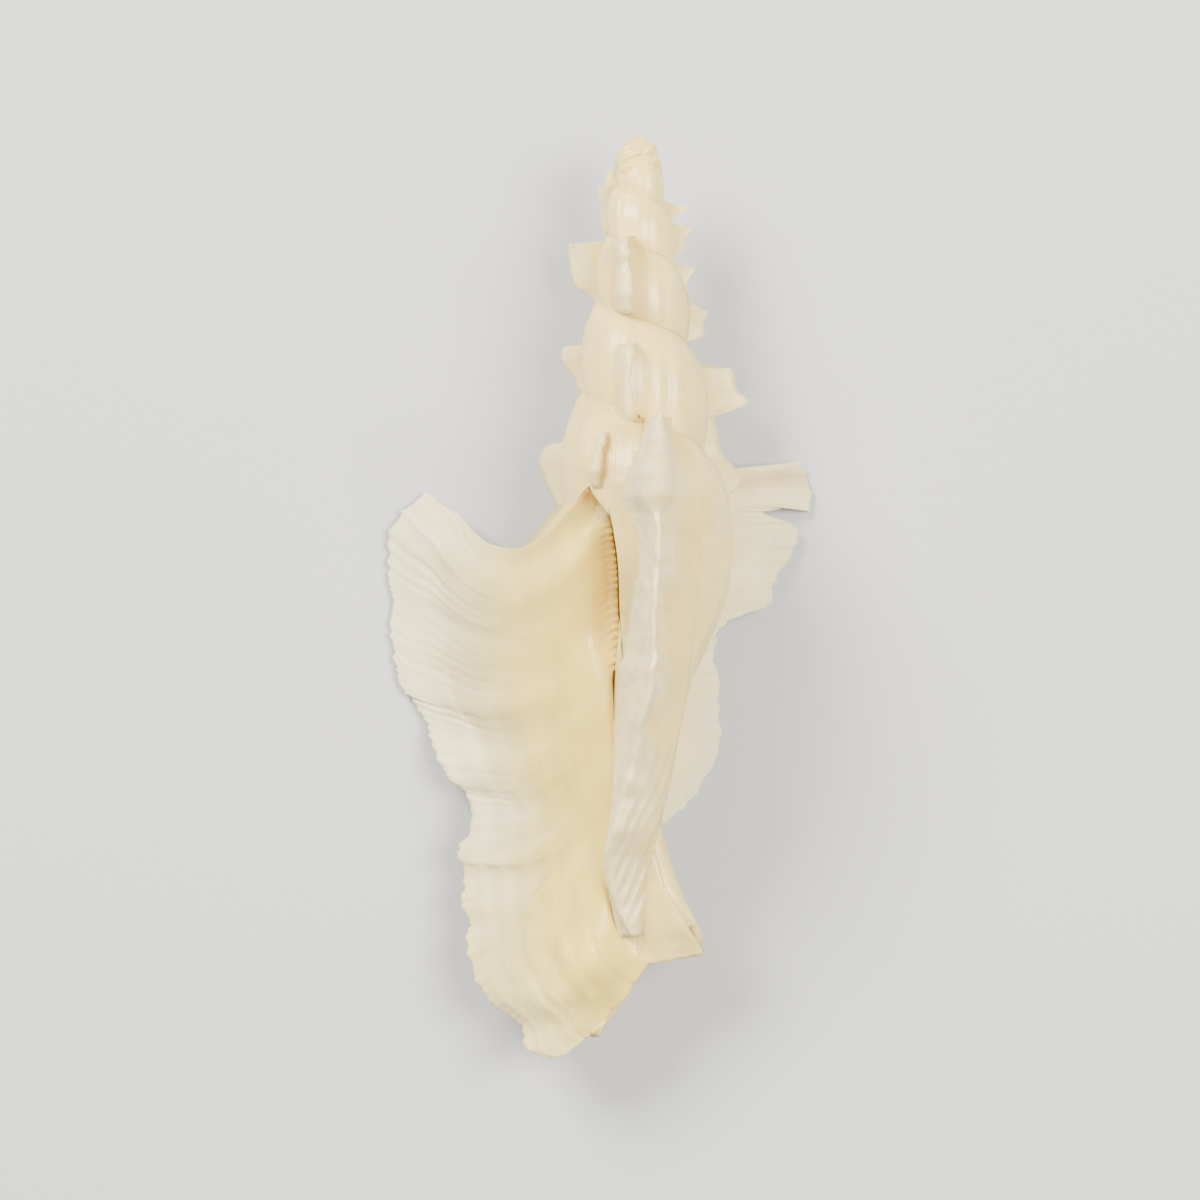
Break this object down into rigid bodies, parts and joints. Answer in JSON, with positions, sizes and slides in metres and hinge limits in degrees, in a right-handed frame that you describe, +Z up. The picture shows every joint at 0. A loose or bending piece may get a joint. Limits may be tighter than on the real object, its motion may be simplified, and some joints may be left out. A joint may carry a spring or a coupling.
{
  "type": "murex shell",
  "caption": "Long-spired spiny sea shell with three rows of thin winged ribs, a toothed mouth rim and a long open canal; a natural display piece",
  "frame": {"origin": "on the ground under the middle of the shell's box, as it lies on the edges of two wings", "axes": "+Y along the coiling axis towards the tip of the spire, +Z up through the standing fin, +X away from the wing at the mouth"},
  "size_m": [0.07, 0.15, 0.0519],
  "materials": {
    "shell": "cream calcium carbonate, satin inside the mouth and chalky on the wings"
  },
  "bodies": {
    "root": {"shell": "shell"}
  },
  "joints": []
}
